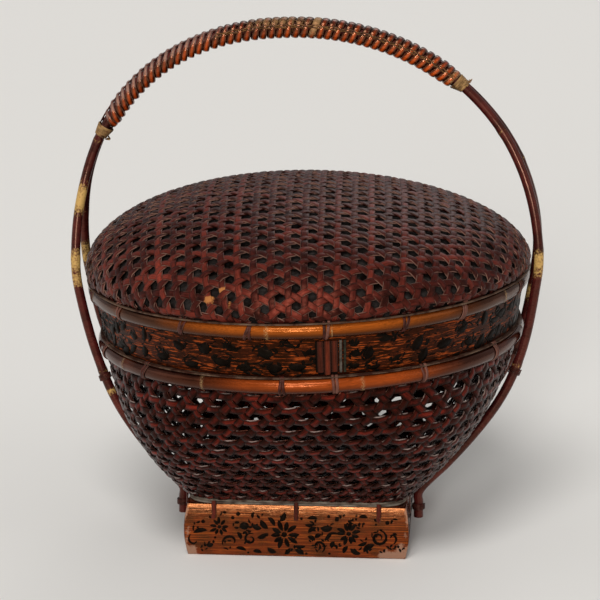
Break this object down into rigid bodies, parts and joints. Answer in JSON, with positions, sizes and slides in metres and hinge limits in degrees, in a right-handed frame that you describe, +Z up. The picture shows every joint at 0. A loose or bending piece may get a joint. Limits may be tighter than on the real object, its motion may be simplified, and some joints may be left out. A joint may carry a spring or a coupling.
{
  "type": "lidded bamboo food basket",
  "caption": "Round woven bamboo basket on a square foot, with a low domed lift-off lid and a tall fixed arched handle wrapped with cane.",
  "frame": {"origin": "middle of the foot, on the surface that the basket stands on", "axes": "+Z up, the painted skirt's seam and the front board of the foot towards -Y, the handle's arch in the plane of X and Z"},
  "size_m": [0.2649, 0.2526, 0.2969],
  "materials": {
    "orange_lacquer": "orange-red lacquered split bamboo, worn gloss",
    "red_lacquer": "red-brown lacquered split bamboo, worn gloss",
    "painted_lacquer": "lacquer with a faded dark floral pattern",
    "dark_weave": "dark lacquered openwork cane weave, satin",
    "rod_lacquer": "maroon lacquered bamboo rod, satin",
    "bare_cane": "worn cane strip, matt to satin"
  },
  "bodies": {
    "basket": {"foot_board_front": "orange_lacquer", "foot_board_right": "orange_lacquer", "foot_board_back": "orange_lacquer", "foot_board_left": "orange_lacquer", "foot_tie_front_left": "bare_cane", "foot_tie_front_middle": "bare_cane", "foot_tie_front_right": "bare_cane", "foot_tie_right_left": "bare_cane", "foot_tie_right_middle": "bare_cane", "foot_tie_right_right": "bare_cane", "foot_tie_back_left": "bare_cane", "foot_tie_back_middle": "bare_cane", "foot_tie_back_right": "bare_cane", "foot_tie_left_left": "bare_cane", "foot_tie_left_middle": "bare_cane", "foot_tie_left_right": "bare_cane", "base_hoop": "bare_cane", "floor_lath_front": "bare_cane", "floor_lath_back": "bare_cane", "bowl_weave": "dark_weave", "rim_outer_hoop": "red_lacquer", "rim_inner_hoop": "red_lacquer", "rim_collar": "red_lacquer", "rim_lacing": "bare_cane", "handle_rod_front": "rod_lacquer", "handle_rod_back": "rod_lacquer", "rim_lashing_right_front": "bare_cane", "rim_lashing_left_front": "bare_cane", "rim_lashing_right_back": "bare_cane", "rim_lashing_left_back": "bare_cane", "foot_lashing_right_front": "bare_cane", "foot_lashing_left_front": "bare_cane", "foot_lashing_right_back": "bare_cane", "foot_lashing_left_back": "bare_cane", "grip_strip_outer": "rod_lacquer", "grip_strip_inner": "rod_lacquer", "grip_end_right": "bare_cane", "grip_end_left": "bare_cane", "grip_winding": "bare_cane"},
    "lid": {"lid_dome_weave": "dark_weave", "lid_outer_hoop": "orange_lacquer", "lid_inner_hoop": "orange_lacquer", "lid_lacing": "bare_cane", "lid_skirt_band": "painted_lacquer", "lid_seam_tab": "painted_lacquer", "lid_seam_slat_1": "bare_cane", "lid_seam_slat_2": "bare_cane"}
  },
  "joints": [
    {"name": "lid_lift", "type": "slide", "parent": "basket", "child": "lid", "axis": [-0.0384, 0, 0.9993], "range_m": [0, 0.014]}
  ]
}
